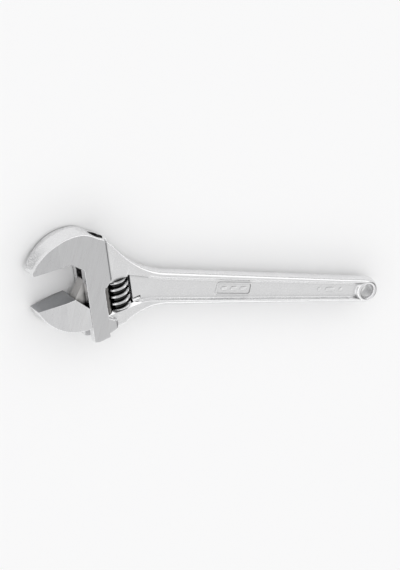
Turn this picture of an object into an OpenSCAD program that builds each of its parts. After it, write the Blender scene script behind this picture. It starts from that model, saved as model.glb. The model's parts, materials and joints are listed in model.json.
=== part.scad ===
// Adjustable wrench lying on its back face, in millimetres.
// +X runs along the handle towards the hanging hole, +Y towards the fixed jaw, +Z out of the front face.
// The origin is under the middle of the wrench, on the surface that it lies on.
// The head is drawn in its own frame at the throat corner: X away from the jaw tips, Y up into the fixed jaw.

/* [Overall] */
// Length from the nose of the fixed jaw to the end of the handle
overall_length = 386.1; // [321:0.1:464]
// Thickness of the head between its two ground faces
head_thickness = 23.8; // [19:0.1:29]
// Angle between the jaws' grip faces and the handle
jaw_angle = 22.5; // [15:0.5:28]

/* [Jaws] */
// Length of both grip faces
grip_length = 36.2; // [30:0.1:44]
// Thickness of both jaws at their tips
jaw_tip_thickness = 16.1; // [12:0.1:19]
// Distance from the throat at which the jaws start to thin
jaw_taper_start = 10; // [4:0.5:20]
// Opening between the grip faces as drawn
opening = 36.7; // [25:0.1:42]
// Run of the relief slope from the grip faces to the cheeks
relief_run = 13; // [10:0.1:16]
// Drop of the relief slope under the fixed jaw
relief_drop = 11.6; // [8:0.1:15]
// Drop of the relief slope on the movable jaw
jaw_relief_drop = 14.3; // [11:0.1:18]
// Depth of the movable jaw below its grip face
jaw_depth = 35.2; // [29:0.1:43]
// Radius of the movable jaw's belly
jaw_belly_radius = 52.6; // [44:0.1:64]

/* [Head] */
// Height of the throat corner above the handle's centre line
throat_height = 24.6; // [20:0.1:30]
// Step from the plate's edge down to the neck's, at the shoulder
plate_step = 0.6; // [0.4:0.1:1]
// Length of the cheeks below the fixed grip face
cheek_length = 88; // [84:0.5:106]
// Width of the ground plate, from the cheeks' edge to the shoulder
plate_width = 25.5; // [21:0.1:30]
// Radius of the nose of the fixed jaw
nose_radius = 9; // [7.5:0.1:10.8]
// Height of the nose radius' centre over the grip face
nose_height = 6.3; // [5.2:0.1:7.5]
// Radius of the crown over the fixed jaw
crown_radius = 53.7; // [46:0.1:64]
// Distance of the crown's peak behind the throat corner
peak_run = 14; // [12:0.1:17]
// Height of the crown's peak over the grip face
peak_height = 28.7; // [25:0.1:34]

/* [Handle] */
// Width of the handle where the neck ends
handle_width = 33.8; // [28:0.1:40]
// Width of the handle at the hanging hole
handle_end_width = 23.6; // [20:0.1:25]
// Thickness of the handle across its rims
rim_thickness = 14; // [12:0.1:17]
// Thickness of the web between the rims
web_thickness = 7.6; // [6:0.1:9]
// Width of the rims where the neck ends
rim_width = 6.4; // [5:0.1:7.7]
// Width of the rims next to the hanging hole
rim_end_width = 4.6; // [3.8:0.1:5.5]
// Radius of the sweep from the upper edge into the head
upper_neck_radius = 105; // [90:1:125]
// Distance from the throat corner to the end of the upper sweep
upper_neck_run = 110.4; // [100:0.1:125]
// Radius of the sweep from the lower edge into the head
lower_neck_radius = 62; // [52:1:74]
// Distance from the throat corner to the end of the lower sweep
lower_neck_run = 119.1; // [112:0.1:135]
// Radius of the round end of the handle
end_radius = 12; // [11.5:0.1:15]
// Radius of the hanging hole
hole_radius = 6.5; // [5.4:0.1:7.8]
// Height of the bead round the hanging hole, over the whole thickness
bead_thickness = 15; // [13:0.1:18]

/* [Adjuster] */
// Outer radius of the knurl's thread
knurl_radius = 11.1; // [9.3:0.1:13]
// Length of the knurl
knurl_length = 29; // [24.5:0.1:33]
// Pitch of the knurl's thread and of the rack
knurl_pitch = 7.1; // [6:0.1:8.5]
// Depth of the thread on the knurl
thread_depth = 3; // [2.5:0.1:3.6]
// Width of the thread's flat crest
crest_width = 2.2; // [1.8:0.1:2.7]
// Width of the thread at its root
root_width = 4.6; // [3.9:0.1:5.2]
// Place of one thread crest along the slide, from the middle of the knurl
thread_phase = -2.2; // [-3.5:0.1:3.5]
// Distance from the fixed grip face to the middle of the knurl's window
window_middle = 51.7; // [48:0.1:56]
// Radius of the round rack
rack_radius = 6.3; // [5.6:0.1:7.4]
// Distance from the plate's edge back to the middle of the rack
rack_inset = 4.6; // [3.9:0.1:5.5]
// Overlap of the thread and the rack teeth
mesh_depth = 2.6; // [2.1:0.1:2.9]
// Height of the rack's top over the movable grip face
rack_rise = 11.9; // [9.5:0.1:13]
// Distance from the movable grip face to the rack's lower end
rack_drop = 49.3; // [46:0.1:51]
// Thickness of the movable jaw's web in the slot
jaw_web_thickness = 9.8; // [8.2:0.1:10.8]
// Radius of the knurl pin
pin_radius = 3.2; // [2.7:0.1:3.5]
// Radius of the pin's slotted head
pin_head_radius = 4.8; // [4:0.1:5.6]
// Radius of the spring's wire
spring_wire_radius = 0.45; // [0.4:0.01:0.5]

/* [Fits] */
// Clearance of the movable jaw in the head, on each side
slide_gap = 0.2; // [0.1:0.05:0.4]
// Radial clearance of the knurl and the head on the pin
pin_gap = 0.06; // [0.03:0.01:0.1]
// Clearance of the knurl at each end of its window
knurl_end_gap = 0.3; // [0.2:0.05:0.5]
// Clearance between the thread and the rack teeth
tooth_gap = 0.3; // [0.2:0.05:0.4]

/* [Hidden] */
steel = [0.78, 0.79, 0.8];
bright_steel = [0.62, 0.63, 0.65];
dark_steel = [0.42, 0.43, 0.45];
beyond = 200;       // reach of cutting shapes past the part
cut = 0.01;         // overlap of shapes that join

// The nose touches the grip face at its tip, and its leftmost point ends the overall length.
nose_run = grip_length - sqrt(pow(nose_radius, 2) - pow(nose_height, 2));
nose_reach = nose_run * cos(jaw_angle) + nose_height * sin(jaw_angle) + nose_radius;
throat_x = nose_reach - overall_length / 2;
end_x = overall_length / 2 - end_radius;

// The head's heights set the middle of the part across the handle.
function head_x(along, up) = throat_x + along * cos(jaw_angle) - up * sin(jaw_angle);
function head_y(along, up) = throat_height + along * sin(jaw_angle) + up * cos(jaw_angle);
function head_point(along, up) = [head_x(along, up), head_y(along, up)];
top_y = head_y(peak_run, peak_height);
bottom_y = head_y(relief_run, -cheek_length);
handle_y = -(top_y + bottom_y) / 2;

// The crown's circle passes through the peak and touches the nose's circle from outside.
nose_centre = [-nose_run, nose_height];
nose_to_peak = [peak_run, peak_height] - nose_centre;
nose_to_peak_way = nose_to_peak / norm(nose_to_peak);
crown_reach = crown_radius - nose_radius;
crown_ahead = (pow(crown_reach, 2) - pow(crown_radius, 2) + pow(norm(nose_to_peak), 2))
    / (2 * norm(nose_to_peak));
crown_aside = sqrt(pow(crown_reach, 2) - pow(crown_ahead, 2));
crown_centre = nose_centre + crown_ahead * nose_to_peak_way
    + crown_aside * [nose_to_peak_way[1], -nose_to_peak_way[0]];

nose_way = (nose_centre - crown_centre) / crown_reach;

// The shoulder leaves the peak at its own slope.
shoulder_normal = 60.5;

// The handle's edges taper evenly from the neck to the hanging hole.
neck_x = throat_x + upper_neck_run;
lower_neck_x = throat_x + lower_neck_run;
taper = atan((handle_width - handle_end_width) / 2 / (end_x - neck_x));
function half_width(x) = handle_width / 2 - (x - neck_x) * tan(taper);
upper_centre = [
    neck_x + upper_neck_radius * sin(taper),
    half_width(neck_x) + upper_neck_radius * cos(taper)
];
lower_centre = [
    lower_neck_x + lower_neck_radius * sin(taper),
    -half_width(lower_neck_x) - lower_neck_radius * cos(taper)
];

// The shoulder's circle passes through the peak and touches the upper sweep's circle.
peak = head_point(peak_run, peak_height);
peak_slope = [cos(shoulder_normal + jaw_angle), sin(shoulder_normal + jaw_angle)];
to_peak = peak - upper_centre;
shoulder_radius = (to_peak * to_peak - pow(upper_neck_radius, 2))
    / (2 * (upper_neck_radius + to_peak * peak_slope));
shoulder_centre = peak - shoulder_radius * peak_slope;
shoulder_to_neck = (upper_centre - shoulder_centre) / norm(upper_centre - shoulder_centre);
touch = shoulder_centre + shoulder_radius * shoulder_to_neck;

// The rack lies under the plate, and the knurl beside it.
plate_edge = relief_run + plate_width;
rack_run = plate_edge - rack_inset;
rack_flat = rack_run + rack_radius - 0.7;
knurl_run = rack_flat - mesh_depth + knurl_radius;
rack_top = rack_rise - opening;
rack_bottom = -opening - rack_drop;
rack_bore_radius = rack_radius + slide_gap;
jaw_edge = relief_run - slide_gap;
closing_travel = opening - slide_gap;
thread_root = knurl_radius - thread_depth;
lead_angle = atan(knurl_pitch / (2 * PI * (knurl_radius - thread_depth / 2)));

// The gusset is the part of the movable jaw's web that rises beside the grip face.
gusset_foot = 3;
gusset_head = 14;

// The knurl's window, as a box with a bevelled mouth on both ground faces.
window_length = knurl_length + 2 * knurl_end_gap;
window_top = window_length / 2 - window_middle;
window_bottom = -window_length / 2 - window_middle;
window_left = knurl_run - knurl_radius - 6;
window_right = knurl_run + knurl_radius + 1.8;
mouth_bevel = 6;

// The pin enters through the arm under the window and ends in the head above it.
pin_head_length = 4.5;
arm_bottom = 4 - cheek_length;
pin_head_end = arm_bottom + 3.4;
pin_top = window_top + 13;
pin_slot_width = 1.4;
pin_slot_depth = 1.6;

// The spring sits in a pocket in the knurl's upper end.
spring_radius = pin_radius + 2 * spring_wire_radius + 0.1;
spring_pocket_radius = spring_radius + 2 * spring_wire_radius;
spring_pocket_depth = 9;
spring_turns = 5;

// Frames
module wrench_frame() translate([0, handle_y, head_thickness / 2]) children();
module head_frame() wrench_frame() translate([throat_x, throat_height, 0]) rotate(jaw_angle) children();
// Z runs along the slide, in the opening direction, and Y out of the front face.
module slide_frame() head_frame() rotate([90, 0, 0]) children();

module plate(thickness) linear_extrude(thickness, center = true) children();

// Both jaws thin towards their tips, on both faces.
module jaw_thickness() {
    thick = head_thickness / 2;
    thin = jaw_tip_thickness / 2;
    slope = (thick - thin) / (grip_length - jaw_taper_start);
    far = 20;
    rotate([90, 0, 0])
    linear_extrude(2 * beyond, center = true)
    polygon([
        [-grip_length - far, thin - far * slope],
        [-jaw_taper_start, thick],
        [beyond, thick],
        [beyond, -thick],
        [-jaw_taper_start, -thick],
        [-grip_length - far, far * slope - thin]
    ]);
}

module crown_disc() translate(crown_centre) circle(crown_radius, $fn = 180);

module shoulder_disc(proud) translate(shoulder_centre) circle(shoulder_radius + proud, $fn = 180);

// Crown and shoulder in the head's frame, where the plate stands a little proud of the neck.
module head_top() {
    intersection() {
        crown_disc();
        rotate(-jaw_angle)
        translate([-throat_x, -throat_height])
        shoulder_disc(plate_step);
    }
}

// Outline of the thick plate: fixed jaw, cheeks and the plate behind them.
module plate_outline() {
    difference() {
        union() {
            intersection() {
                head_top();
                polygon([
                    [-nose_run, 0],
                    [0, 0],
                    [relief_run, -relief_drop],
                    [relief_run, -relief_drop - cut],
                    [plate_edge, -relief_drop - cut],
                    [plate_edge, beyond],
                    nose_centre + beyond * nose_way,
                    nose_centre
                ]);
            }
            intersection() {
                head_top();
                translate(nose_centre) circle(nose_radius, $fn = 64);
                translate([-beyond, 0]) square([beyond, beyond]);
            }
            polygon([
                [relief_run, -relief_drop],
                [plate_edge, -relief_drop],
                [plate_edge, arm_bottom + 5],
                [plate_edge - 1.5, arm_bottom + 2.4],
                [relief_run + 17, arm_bottom],
                [relief_run + 17, -cheek_length],
                [relief_run + 1.5, -cheek_length],
                [relief_run, -cheek_length + 1.5]
            ]);
        }
        polygon([
            [window_left, window_top - 2.4],
            [plate_edge + cut, window_top + mouth_bevel - 2.4],
            [plate_edge + cut, window_bottom - mouth_bevel - 2],
            [window_left, window_bottom - 2]
        ]);
    }
}

// Neck, arm under the window and handle, in the wrench's own frame.
module handle_outline() {
    inner_left = head_point(relief_run + 7, -40);
    difference() {
        polygon([
            inner_left,
            head_point(peak_run + 12, 12),
            shoulder_centre + (shoulder_radius - 20) * shoulder_to_neck,
            touch,
            [neck_x, half_width(neck_x)],
            [end_x, half_width(end_x)],
            [end_x, -half_width(end_x)],
            [lower_neck_x, -half_width(lower_neck_x)],
            head_point(plate_edge + 6, arm_bottom),
            head_point(relief_run + 16, arm_bottom),
            head_point(relief_run + 16, -40)
        ]);
        translate(upper_centre) circle(upper_neck_radius, $fn = 180);
        translate(lower_centre) circle(lower_neck_radius, $fn = 180);
    }
    intersection() {
        shoulder_disc(0);
        polygon([
            inner_left,
            head_point(peak_run + 12, 12),
            head_point(peak_run + 12, 40),
            touch + 40 * shoulder_to_neck,
            touch,
            head_point(plate_edge + 8, -40)
        ]);
    }
}

// The web's recess on each face, from the window to the bead round the hole.
module recess_outline() {
    panel_end = end_x - end_radius + 2;
    start_upper = head_point(window_right, window_top + 0.5);
    start_lower = head_point(window_right, window_bottom + 1);
    polygon([
        start_upper,
        [neck_x, half_width(neck_x) - rim_width],
        [panel_end, half_width(panel_end) - rim_end_width],
        [panel_end, -half_width(panel_end) + rim_end_width],
        [lower_neck_x, -half_width(lower_neck_x) + rim_width],
        start_lower,
        head_point(window_right - 2, window_bottom + 1),
        head_point(window_right - 2, window_top + 0.5)
    ]);
}

module hanging_end() {
    bead_radius = (end_radius - hole_radius) / 2 - 0.2;
    bead_z = bead_thickness / 2 - bead_radius;
    translate([end_x, 0, 0]) {
        cylinder(2 * bead_z, r = end_radius, center = true, $fn = 96);
        for (side = [-1, 1])
            translate([0, 0, side * bead_z])
            rotate_extrude($fn = 96)
            translate([(hole_radius + end_radius) / 2, 0])
            circle(bead_radius, $fn = 32);
    }
}

// Slot between the cheeks, as long as the web needs when the jaw is shut.
module slot_outline() {
    rise = rack_top + closing_travel;
    foot = opening + jaw_relief_drop * gusset_foot / relief_run;
    polygon([
        [gusset_foot - 0.8, -beyond],
        [gusset_foot - 0.8, closing_travel - foot + 1],
        [gusset_head - 0.8, rise + 0.8],
        [rack_run, rise + 0.8],
        [rack_run, -beyond]
    ]);
}

module body() color(steel) {
    difference() {
        union() {
            head_frame() intersection() {
                plate(head_thickness) plate_outline();
                jaw_thickness();
            }
            wrench_frame() difference() {
                plate(rim_thickness) difference() {
                    handle_outline();
                    translate([end_x, 0]) circle(end_radius - 1, $fn = 96);
                }
                for (side = [0, 1])
                    mirror([0, 0, side])
                    translate([0, 0, web_thickness / 2])
                    linear_extrude(beyond)
                    recess_outline();
            }
            wrench_frame() hanging_end();
        }
        head_frame() plate(jaw_web_thickness + 2 * slide_gap) slot_outline();
        head_frame()
        translate([window_left, window_bottom, -beyond / 2])
        cube([window_right - window_left, window_length, beyond]);
        slide_frame() {
            translate([rack_run, 0, -beyond]) cylinder(2 * beyond, r = rack_bore_radius, $fn = 96);
            translate([knurl_run, 0, -pin_top - 1])
            cylinder(beyond, r = pin_radius + pin_gap, $fn = 64);
            translate([knurl_run, 0, -pin_head_end - pin_head_length])
            cylinder(beyond, r = pin_head_radius + pin_gap, $fn = 64);
        }
        wrench_frame()
        translate([end_x, 0, 0])
        cylinder(beyond, r = hole_radius, center = true, $fn = 96);
    }
}

module jaw_outline() {
    intersection() {
        translate([jaw_edge, jaw_belly_radius - opening - jaw_depth]) circle(jaw_belly_radius, $fn = 180);
        polygon([
            [-grip_length - 0.4, -opening],
            [0, -opening],
            [jaw_edge, -opening - jaw_relief_drop],
            [jaw_edge, -beyond],
            [-grip_length - 0.4, -beyond]
        ]);
    }
}

module jaw_web_outline() {
    foot = opening + jaw_relief_drop * gusset_foot / relief_run;
    polygon([
        [gusset_foot, -foot],
        [gusset_head, rack_top],
        [rack_run, rack_top],
        [rack_run, rack_bottom],
        [rack_run - 12, rack_bottom],
        [rack_run - 16, -opening - jaw_depth],
        [gusset_foot, -opening - jaw_depth + 4]
    ]);
}

// Rack grooves lean by the thread's lead, and are as wide as the thread plus a gap on each flank.
module rack_grooves() {
    crest_half = crest_width / 2 + tooth_gap;
    root_half = root_width / 2 + tooth_gap;
    crest_run = knurl_run - knurl_radius - tooth_gap;
    root_run = knurl_run - thread_root;
    first = window_middle + thread_phase + knurl_pitch / 2;
    lowest = ceil((-rack_top - first) / knurl_pitch - 0.6);
    highest = floor((-rack_bottom - first) / knurl_pitch + 0.6);
    for (i = [lowest : highest])
        translate([0, 0, first + i * knurl_pitch])
        rotate([-lead_angle, 0, 0])
        rotate([90, 0, 0])
        linear_extrude(4 * rack_radius, center = true)
        polygon([
            [crest_run, -crest_half],
            [root_run, -root_half],
            [root_run + 3, -root_half],
            [root_run + 3, root_half],
            [root_run, root_half],
            [crest_run, crest_half]
        ]);
}

module movable_jaw() color(steel) {
    head_frame() intersection() {
        plate(head_thickness) jaw_outline();
        jaw_thickness();
    }
    head_frame() plate(jaw_web_thickness) jaw_web_outline();
    slide_frame() difference() {
        translate([rack_run, 0, -rack_top])
        cylinder(rack_top - rack_bottom, r = rack_radius, $fn = 96);
        translate([rack_flat, -beyond / 2, -beyond / 2]) cube(beyond);
        rack_grooves();
    }
}

// Radius of the thread at a turn angle and a height, for a right-hand thread along +Z.
function thread_wave(angle, height) =
    let (turns = (height - thread_phase) / knurl_pitch - angle / 360)
    knurl_pitch * abs(turns - round(turns));
function thread_radius(off) =
    off < crest_width / 2 ? knurl_radius
    : off > root_width / 2 ? thread_root
    : knurl_radius - thread_depth * (off - crest_width / 2) / (root_width / 2 - crest_width / 2);

module thread_solid(rows, columns) {
    step = knurl_length / rows;
    side = [
        for (i = [0 : rows], j = [0 : columns - 1])
        let (angle = 360 * j / columns, height = i * step - knurl_length / 2)
        let (r = thread_radius(thread_wave(angle, height)))
        [r * cos(angle), r * sin(angle), height]
    ];
    low = len(side);
    high = low + 1;
    walls = [
        for (i = [0 : rows - 1], j = [0 : columns - 1])
        let (a = i * columns + j, b = i * columns + (j + 1) % columns)
        each [[a, a + columns, b + columns], [a, b + columns, b]]
    ];
    ends = [
        for (j = [0 : columns - 1])
        let (next = (j + 1) % columns, last = rows * columns)
        each [[low, j, next], [high, last + next, last + j]]
    ];
    polyhedron(
        concat(side, [[0, 0, -knurl_length / 2], [0, 0, knurl_length / 2]]),
        concat(walls, ends)
    );
}

module knurl() color(bright_steel) {
    slide_frame()
    translate([knurl_run, 0, window_middle])
    difference() {
        thread_solid(48, 48);
        cylinder(beyond, r = pin_radius + pin_gap, center = true, $fn = 64);
        translate([0, 0, -knurl_length])
        cylinder(knurl_length / 2 + spring_pocket_depth, r = spring_pocket_radius, $fn = 64);
    }
}

module knurl_pin() color(dark_steel) {
    slide_frame() translate([knurl_run, 0, 0]) difference() {
        union() {
            translate([0, 0, -pin_top]) cylinder(pin_top - pin_head_end, r = pin_radius, $fn = 64);
            translate([0, 0, -pin_head_end - pin_head_length])
            cylinder(pin_head_length, r = pin_head_radius, $fn = 64);
        }
        translate([-beyond / 2, -pin_slot_width / 2, -pin_head_end - pin_slot_depth])
        cube([beyond, pin_slot_width, beyond]);
    }
}

// A wire of six sides swept along a helix between the window's wall and the pocket's floor.
module spring_wire(rings, sides) {
    height = spring_pocket_depth + knurl_end_gap - 2 * spring_wire_radius - 0.4;
    points = [
        for (i = [0 : rings], j = [0 : sides - 1])
        let (turn = 360 * spring_turns * i / rings, round_angle = 360 * j / sides)
        let (r = spring_radius + spring_wire_radius * cos(round_angle))
        [r * cos(turn), r * sin(turn), height * i / rings + spring_wire_radius * sin(round_angle)]
    ];
    walls = [
        for (i = [0 : rings - 1], j = [0 : sides - 1])
        let (a = i * sides + j, b = i * sides + (j + 1) % sides)
        each [[a, b + sides, a + sides], [a, b, b + sides]]
    ];
    start_cap = [[for (j = [0 : sides - 1]) sides - 1 - j]];
    end_cap = [[for (j = [0 : sides - 1]) rings * sides + j]];
    polyhedron(points, concat(walls, start_cap, end_cap));
}

module knurl_spring() color(dark_steel) {
    slide_frame()
    translate([knurl_run, 0, spring_wire_radius + 0.2 - window_top])
    spring_wire(120, 6);
}

body();
movable_jaw();
knurl();
knurl_pin();
knurl_spring();
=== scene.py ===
"""An adjustable wrench lying on its back face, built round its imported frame.

Lengths are in metres. The sections follow the wrench as it is put together: the forged body, the
movable jaw, the knurl, the knurl's pin and its spring.
"""
import json

import bmesh
import bpy
import numpy as np
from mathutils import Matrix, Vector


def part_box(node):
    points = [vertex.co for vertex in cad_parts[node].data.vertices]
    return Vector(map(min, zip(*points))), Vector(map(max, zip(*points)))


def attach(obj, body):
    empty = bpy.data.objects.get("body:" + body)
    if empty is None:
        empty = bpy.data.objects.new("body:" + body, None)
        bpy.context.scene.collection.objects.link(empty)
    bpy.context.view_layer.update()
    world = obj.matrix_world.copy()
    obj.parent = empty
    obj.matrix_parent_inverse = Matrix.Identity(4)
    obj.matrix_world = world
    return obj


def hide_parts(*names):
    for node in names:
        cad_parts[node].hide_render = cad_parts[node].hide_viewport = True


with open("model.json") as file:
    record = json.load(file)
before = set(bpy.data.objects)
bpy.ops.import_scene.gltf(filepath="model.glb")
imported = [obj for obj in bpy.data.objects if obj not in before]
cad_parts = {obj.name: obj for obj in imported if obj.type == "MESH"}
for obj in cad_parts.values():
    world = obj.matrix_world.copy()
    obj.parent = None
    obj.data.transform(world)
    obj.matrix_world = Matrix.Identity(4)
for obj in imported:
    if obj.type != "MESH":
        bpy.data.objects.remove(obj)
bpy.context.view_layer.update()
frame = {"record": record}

# ---- Camera, floor and light ---------------------------------------------------------------
# A long lens looks down on the head from its upper left. The floor is plain and pale, and the
# light is one soft dome, brightest a little above the horizon, so that rounded edges show.
camera_data = bpy.data.cameras.new("camera")
camera_data.lens = 437.87
camera_data.sensor_width = 36
camera_data.clip_start = 0.1
camera_data.clip_end = 50
camera = bpy.data.objects.new("camera", camera_data)
bpy.context.scene.collection.objects.link(camera)
look_right = np.array([0.82896, 0.21738, 0.51534])
look_up = np.array([-0.00820, 0.92601, -0.37742])
look_back = np.array([-0.55925, 0.30864, 0.76940])
mm = 0.001
out_way = np.array([0, 0, 1.0])
mounts = {mount["name"]: mount for mount in frame["record"]["mounts"]}
opening_way = np.array(mounts["fixed_grip"]["axis"])
head_along = np.array([-opening_way[1], opening_way[0], 0.0])
head_up = -opening_way
throat = np.array(mounts["fixed_grip"]["pos_m"]) + 15 * mm * head_along
camera_place = throat + np.array([-3.36736, 1.91984, 4.84279])
pose = np.eye(4)
pose[:3, 0], pose[:3, 1], pose[:3, 2], pose[:3, 3] = look_right, look_up, look_back, camera_place
camera.matrix_world = pose.T.tolist()
bpy.context.scene.camera = camera
bpy.context.scene.view_settings.view_transform = "Standard"

floor_reach = 6.0
floor_mesh = bpy.data.meshes.new("floor")
floor_corners = [(-floor_reach, -floor_reach, 0), (floor_reach, -floor_reach, 0),
                 (floor_reach, floor_reach, 0), (-floor_reach, floor_reach, 0)]
floor_mesh.from_pydata(floor_corners, [], [(0, 1, 2, 3)])
floor = bpy.data.objects.new("floor", floor_mesh)
bpy.context.scene.collection.objects.link(floor)


def new_material(name):
    """A new material with a Principled BSDF: returns the material, its nodes, its links and the BSDF."""
    material = bpy.data.materials.new(name)
    material.use_nodes = True
    tree = material.node_tree
    tree.nodes.clear()
    shader = tree.nodes.new("ShaderNodeBsdfPrincipled")
    output = tree.nodes.new("ShaderNodeOutputMaterial")
    tree.links.new(shader.outputs["BSDF"], output.inputs["Surface"])
    return material, tree.nodes, tree.links, shader


# The floor is one plain sheet of matt white card.
floor_material, _, _, floor_shader = new_material("pale_floor")
floor_shader.inputs["Base Color"].default_value = (0.95, 0.95, 0.95, 1)
floor_shader.inputs["Roughness"].default_value = 0.9
floor_mesh.materials.append(floor_material)

# The dome's brightness depends on the height over the horizon.
world = bpy.data.worlds.new("studio")
bpy.context.scene.world = world
world.use_nodes = True
sky = world.node_tree
sky_place = sky.nodes.new("ShaderNodeTexCoord")
sky_split = sky.nodes.new("ShaderNodeSeparateXYZ")
sky_ramp = sky.nodes.new("ShaderNodeValToRGB")
sky.links.new(sky_place.outputs["Generated"], sky_split.inputs["Vector"])
sky.links.new(sky_split.outputs["Z"], sky_ramp.inputs["Fac"])
sky.links.new(sky_ramp.outputs["Color"], sky.nodes["Background"].inputs["Color"])
sky_ramp.color_ramp.elements[0].position = 0.0
sky_ramp.color_ramp.elements[0].color = (0.08, 0.08, 0.085, 1)
sky_ramp.color_ramp.elements[1].position = 1.0
sky_ramp.color_ramp.elements[1].color = (0.56, 0.56, 0.57, 1)
for height, glow in ((0.12, 0.30), (0.25, 1.0), (0.50, 1.0), (0.66, 0.54), (0.80, 0.50)):
    sky_ramp.color_ramp.elements.new(height).color = (glow, glow, glow, 1)
sky.nodes["Background"].inputs["Strength"].default_value = 1.5

# ---- Body ----------------------------------------------------------------------------------
# One steel drop forging: a thick head plate with the fixed jaw, ground flat on both faces, a neck,
# and a handle whose rounded rims stand round a sunken web. Slot, window and bores are machined.
body_high = np.array(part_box("body")[1])
joints = {joint["name"]: joint for joint in frame["record"]["behaviour"]["joints"]}
hole_centre = np.array(mounts["hang_hole"]["pos_m"])
mid_height = throat[2]
handle_line = hole_centre[1]


def head_place(along, up, out=0.0):
    """Points for places in the head, from the throat's corner: away from the tips, up, and out."""
    along, up, out = np.broadcast_arrays(along, up, out)
    return throat + along[..., None] * head_along + up[..., None] * head_up + out[..., None] * out_way


def arc(centre, radius, start, end, steps):
    """Points on a circle about a centre, from one angle to another in degrees."""
    turn = np.radians(np.linspace(start, end, steps))
    return np.stack([centre[0] + radius * np.cos(turn), centre[1] + radius * np.sin(turn)], axis=-1)


def stretch(start, end, steps):
    """Evenly spaced points on the line from start to end, without the end."""
    share = np.linspace(0, 1, steps, endpoint=False)[:, None]
    return np.asarray(start) * (1 - share) + np.asarray(end) * share


def skin(points, ring=False):
    """Quads of a grid of points (rows, columns, 3) whose rows are closed.

    The end rows are capped, or joined to each other in a ring.
    """
    rows, columns = points.shape[:2]
    row = np.arange(rows if ring else rows - 1)[:, None]
    column = np.arange(columns)[None, :]
    beside = (column + 1) % columns
    above = (row + 1) % rows
    quads = np.stack([row * columns + column, row * columns + beside,
                      above * columns + beside, above * columns + column], axis=-1).reshape(-1, 4)
    faces = quads.tolist()
    if not ring:
        faces.append(list(range(columns))[::-1])
        faces.append(list(range((rows - 1) * columns, rows * columns)))
    return points.reshape(-1, 3), faces


def solid(name, points, faces):
    """A new object at the origin from points and faces, with its normals turned outwards."""
    mesh = bpy.data.meshes.new(name)
    mesh.from_pydata(np.asarray(points).tolist(), [], faces)
    work = bmesh.new()
    work.from_mesh(mesh)
    bmesh.ops.remove_doubles(work, verts=work.verts, dist=1e-7)
    bmesh.ops.recalc_face_normals(work, faces=work.faces)
    work.to_mesh(mesh)
    work.free()
    made = bpy.data.objects.new(name, mesh)
    bpy.context.scene.collection.objects.link(made)
    return made


def shape_with(piece, tool, operation):
    """Joins a tool shape to a piece, cuts it away or keeps their common part, and deletes the tool."""
    change = piece.modifiers.new("shape", "BOOLEAN")
    change.operation = operation
    change.solver = "MANIFOLD"
    change.object = tool
    change.material_mode = "TRANSFER"
    graph = bpy.context.evaluated_depsgraph_get()
    mesh = bpy.data.meshes.new_from_object(piece.evaluated_get(graph))
    piece.modifiers.clear()
    piece.data = mesh
    bpy.data.objects.remove(tool)


def rod(name, start, end, radius, steps):
    """A round rod between two points."""
    start, end = np.asarray(start), np.asarray(end)
    axis = (end - start) / np.linalg.norm(end - start)
    side = np.cross(axis, out_way) if abs(axis[2]) < 0.9 else np.array([1.0, 0, 0])
    side = side / np.linalg.norm(side)
    other = np.cross(axis, side)
    turn = np.linspace(0, 2 * np.pi, steps, endpoint=False)
    ring = radius * (np.cos(turn)[:, None] * side + np.sin(turn)[:, None] * other)
    return solid(name, *skin(np.stack([start + ring, end + ring])))


def prism(name, outline, low, high):
    """A straight prism over an outline in the head's along and up, from a low to a high distance out."""
    outline = np.asarray(outline)
    ends = [head_place(outline[:, 0], outline[:, 1], level) for level in (low, high)]
    return solid(name, *skin(np.stack(ends)))


# The head's outline, in the head's along and up.
half_head = body_high[2] - mid_height
plate_edge, plate_foot, relief_run, relief_drop = 39.4 * mm, -88 * mm, 13 * mm, 11.6 * mm
arm_foot = plate_foot + 4 * mm
nose_radius, nose_up, grip_length = 9 * mm, 6.3 * mm, 36.2 * mm
crown_radius, peak_along, peak_up, shoulder_turn = 53.7 * mm, 14 * mm, 28.7 * mm, 60.5
nose_centre = np.array([np.sqrt(nose_radius ** 2 - nose_up ** 2) - grip_length, nose_up])


def handle_frame(along, up):
    """Where a place in the head lies along (x) and across (y) the handle."""
    return head_place(along, up)[..., :2]


# The upper and lower edges of neck and handle: even taper, then sweeps into the head.
end_radius = body_high[0] - hole_centre[0]
neck_x = throat[0] + 110.4 * mm
lower_neck_x = throat[0] + 119.1 * mm
neck_half, end_half, end_flare = 16.9 * mm, 11.8 * mm, 0.15 * mm
taper = np.arctan((neck_half - end_half) / (hole_centre[0] - neck_x))
upper_radius, lower_radius = 105 * mm, 62 * mm


def half_width(x):
    """Half the handle's width at x, from its even taper."""
    return neck_half - (x - neck_x) * np.tan(taper)


upper_centre = np.array([neck_x + upper_radius * np.sin(taper),
                         handle_line + neck_half + upper_radius * np.cos(taper)])
lower_centre = np.array([lower_neck_x + lower_radius * np.sin(taper),
                         handle_line - half_width(lower_neck_x) - lower_radius * np.cos(taper)])
peak = handle_frame(peak_along, peak_up)
jaw_turn = np.degrees(np.arctan2(head_along[1], head_along[0]))
peak_turn = np.radians(shoulder_turn + jaw_turn)
peak_way = np.array([np.cos(peak_turn), np.sin(peak_turn)])
to_peak = peak - upper_centre
shoulder_radius = (to_peak @ to_peak - upper_radius ** 2) / (2 * (upper_radius + to_peak @ peak_way))
shoulder_centre = peak - shoulder_radius * peak_way
from_throat = shoulder_centre - throat[:2]
shoulder_head = np.array([from_throat @ head_along[:2], from_throat @ head_up[:2]])
to_sweep = upper_centre - shoulder_centre
touch = shoulder_centre + shoulder_radius * to_sweep / np.linalg.norm(to_sweep)


def circle_height(centre, radius, along, side):
    """Height of a circle over a place along its first axis, on its upper (1) or lower (-1) side."""
    reach = np.maximum(radius ** 2 - (along - centre[0]) ** 2, 0)
    return centre[1] + side * np.sqrt(reach)


def smooth(low, high, value):
    """0 below low, 1 above high, and a smooth rise between."""
    share = np.clip((value - low) / (high - low), 0, 1)
    return share * share * (3 - 2 * share)


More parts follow.
